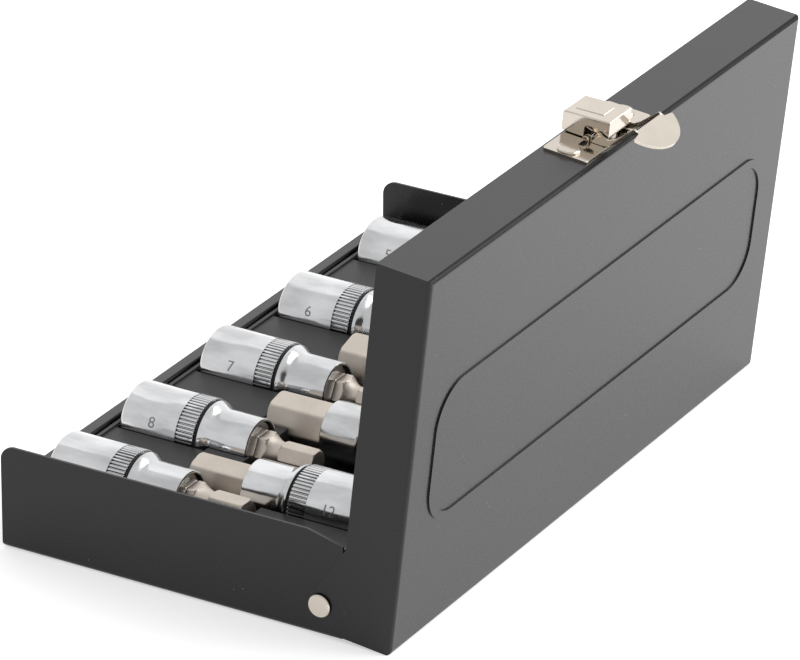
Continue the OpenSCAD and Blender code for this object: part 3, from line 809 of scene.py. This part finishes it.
class CASE_OT_rivets(bpy.types.Operator):
    """Rivets with softly domed heads"""
    bl_idname = "case.rivets"
    bl_label = "Rivets"

    def execute(self, context):
        edge = context.scene.latch_look.rivet_edge
        for node, body in (("hinge_rivets", "case"), ("latch_rivets", "lid"), ("keeper_rivets", "case")):
            softened(node, body, "bright nickel", edge, ROUNDED_RIVET)
        return {"FINISHED"}


class CASE_OT_sockets(bpy.types.Operator):
    """Chrome sockets with a fluted grip band, driving square and hex hole"""
    bl_idname = "case.sockets"
    bl_label = "Sockets"

    def execute(self, context):
        look = context.scene.socket_look
        for name in FRONT + REAR:
            recess = RECESS_FRONT if name in FRONT else RECESS_REAR
            neck = neck_rows(ROLL[name], shank_half(name), recess)
            bm = turned(drive_rows() + band_rows(look) + neck)
            self.shade_groove(bm)
            seat(bm, name)
            obj = put("chrome_socket_" + name, bm, "polished chrome", "set_" + name, SHARP_TURNED)
            # painted shade: the groove beside the band takes a near-black finish
            obj.data.materials.append(finish_of("groove shade"))
            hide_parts("socket_" + name)
        return {"FINISHED"}

    def shade_groove(self, bm):
        """Gives the groove beside the band the second material, its painted shade."""
        for face in bm.faces:
            past_band = face.calc_center_median().z - BAND_END
            face.material_index = int(GROOVE[0] < past_band < GROOVE[1])


class CASE_OT_bits(bpy.types.Operator):
    """Satin bits, slender ones with a collar and a hollow throat"""
    bl_idname = "case.bits"
    bl_label = "Bits"

    def execute(self, context):
        for name in FRONT + REAR:
            rows = slim_rows if name in FRONT else stout_rows
            bm = turned(rows(across_flats(name), ROLL[name], shank_half(name)))
            seat(bm, name)
            obj = put("steel_bit_" + name, bm, "satin bit steel", "set_" + name, SHARP_TURNED)
            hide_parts("bit_" + name)
        return {"FINISHED"}


class CASE_OT_digits(bpy.types.Operator):
    """Plain size numbers etched on the sockets"""
    bl_idname = "case.digits"
    bl_label = "Size numbers"

    def execute(self, context):
        height = context.scene.socket_look.digits
        for name, size in SIZES.items():
            bm = self.flat_number(size, height)
            self.wrap(bm, name)
            put("digits_" + name, bm, "etched digits", "set_" + name, SHARP_DIGIT)
        return {"FINISHED"}

    def flat_number(self, size, height):
        """The number as a flat mesh, cut finely enough to bend."""
        longest = 0.6 * MM
        curve = bpy.data.curves.new("digits", "FONT")
        curve.body = size
        curve.size = height * TEXT_PER_DIGIT
        curve.resolution_u = 3
        text = bpy.data.objects.new("digits", curve)
        bpy.context.scene.collection.objects.link(text)
        flat = text.evaluated_get(bpy.context.evaluated_depsgraph_get()).to_mesh()
        bm = bmesh.new()
        bm.from_mesh(flat)
        bpy.data.objects.remove(text)
        bpy.data.curves.remove(curve)
        bmesh.ops.remove_doubles(bm, verts=bm.verts, dist=0.001 * MM)
        long_edges = [e for e in bm.edges if e.calc_length() > longest]
        bmesh.ops.subdivide_edges(bm, edges=long_edges, cuts=5)
        bmesh.ops.triangulate(bm, faces=bm.faces)
        return bm

    def wrap(self, bm, name):
        """Bends the number round its socket, centred along the body."""
        x, y, way = socket_place(name)
        middle = sum(v.co.x for v in bm.verts) / len(bm.verts)
        start = y + way * DIGITS_AT
        for v in bm.verts:
            turn = math.radians(DIGITS_LEAN) + v.co.y / BODY_R
            along = start + v.co.x - middle
            rise = AXIS_H + DIGITS_R * math.sin(turn)
            v.co = Vector((x + DIGITS_R * math.cos(turn), along, rise))


class CASE_OT_stage(bpy.types.Operator):
    """Pale floor, soft light and the camera at the photograph's place"""
    bl_idname = "case.stage"
    bl_label = "Stage"

    def execute(self, context):
        look = context.scene.stage_look
        self.floor(look)
        self.light(look)
        self.camera(look)
        context.scene.view_settings.view_transform = "Standard"
        return {"FINISHED"}

    def floor(self, look):
        pale_floor(look)
        bm = bmesh.new()
        bmesh.ops.create_grid(bm, x_segments=8, y_segments=8, size=FLOOR_SIZE)
        mesh = bpy.data.meshes.new("floor")
        bm.to_mesh(mesh)
        bm.free()
        mesh.materials.append(finish_of("pale floor"))
        floor = bpy.data.objects.new("floor", mesh)
        floor.location.z = -FLOOR_DROP
        bpy.context.scene.collection.objects.link(floor)

    def light(self, look):
        world = bpy.data.worlds.new("surround")
        bpy.context.scene.world = world
        world.use_nodes = True
        sky = world.node_tree.nodes["Background"]
        sky.inputs["Color"].default_value = (1, 1, 1, 1)
        sky.inputs["Strength"].default_value = look.surround
        for name, given in LAMPS.items():
            lamp = bpy.data.lights.new(name, "AREA")
            lamp.energy = given["power"]
            lamp.size = given["size"]
            obj = bpy.data.objects.new(name, lamp)
            obj.location = given["place"]
            obj.rotation_euler = (-Vector(given["place"])).to_track_quat("-Z", "Y").to_euler()
            bpy.context.scene.collection.objects.link(obj)

    def camera(self, look):
        right = Vector(CAMERA_RIGHT)
        up = -Vector(CAMERA_DOWN)
        back = right.cross(up)
        cam = bpy.data.cameras.new("camera")
        cam.lens = look.lens
        cam.sensor_width = SENSOR
        cam.clip_start, cam.clip_end = CLIP
        obj = bpy.data.objects.new("camera", cam)
        turn = Matrix((right, up, back)).transposed().to_4x4()
        obj.matrix_world = Matrix.Translation(CAMERA_AT) @ turn
        bpy.context.scene.collection.objects.link(obj)
        bpy.context.scene.camera = obj


class CASE_PT_panel(bpy.types.Panel):
    """Lists the steps that dress the case"""
    bl_idname = "CASE_PT_panel"
    bl_label = "Socket Case"
    bl_space_type = "VIEW_3D"
    bl_region_type = "UI"
    bl_category = "Socket Case"

    def draw(self, context):
        for look in LOOKS:
            group = getattr(context.scene, look)
            box = self.layout.box()
            for key in group.__annotations__:
                box.prop(group, key)
        for step in STEPS:
            self.layout.operator(step.bl_idname)


LOOKS = {
    "case_look": CaseLook,
    "socket_look": SocketLook,
    "latch_look": LatchLook,
    "stage_look": StageLook,
}
STEPS = [
    CASE_OT_finishes,
    CASE_OT_shells,
    CASE_OT_insert,
    CASE_OT_latch,
    CASE_OT_rivets,
    CASE_OT_sockets,
    CASE_OT_bits,
    CASE_OT_digits,
    CASE_OT_stage,
]


def register():
    for cls in (*LOOKS.values(), *STEPS, CASE_PT_panel):
        bpy.utils.register_class(cls)
    for name, cls in LOOKS.items():
        setattr(bpy.types.Scene, name, bpy.props.PointerProperty(type=cls))


def unregister():
    for name in LOOKS:
        delattr(bpy.types.Scene, name)
    for cls in reversed((*LOOKS.values(), *STEPS, CASE_PT_panel)):
        bpy.utils.unregister_class(cls)


def main():
    register()
    bpy.ops.case.finishes()
    bpy.ops.case.shells()
    bpy.ops.case.insert()
    bpy.ops.case.latch()
    bpy.ops.case.rivets()
    bpy.ops.case.sockets()
    bpy.ops.case.bits()
    bpy.ops.case.digits()
    bpy.ops.case.stage()


if __name__ == "__main__":
    main()
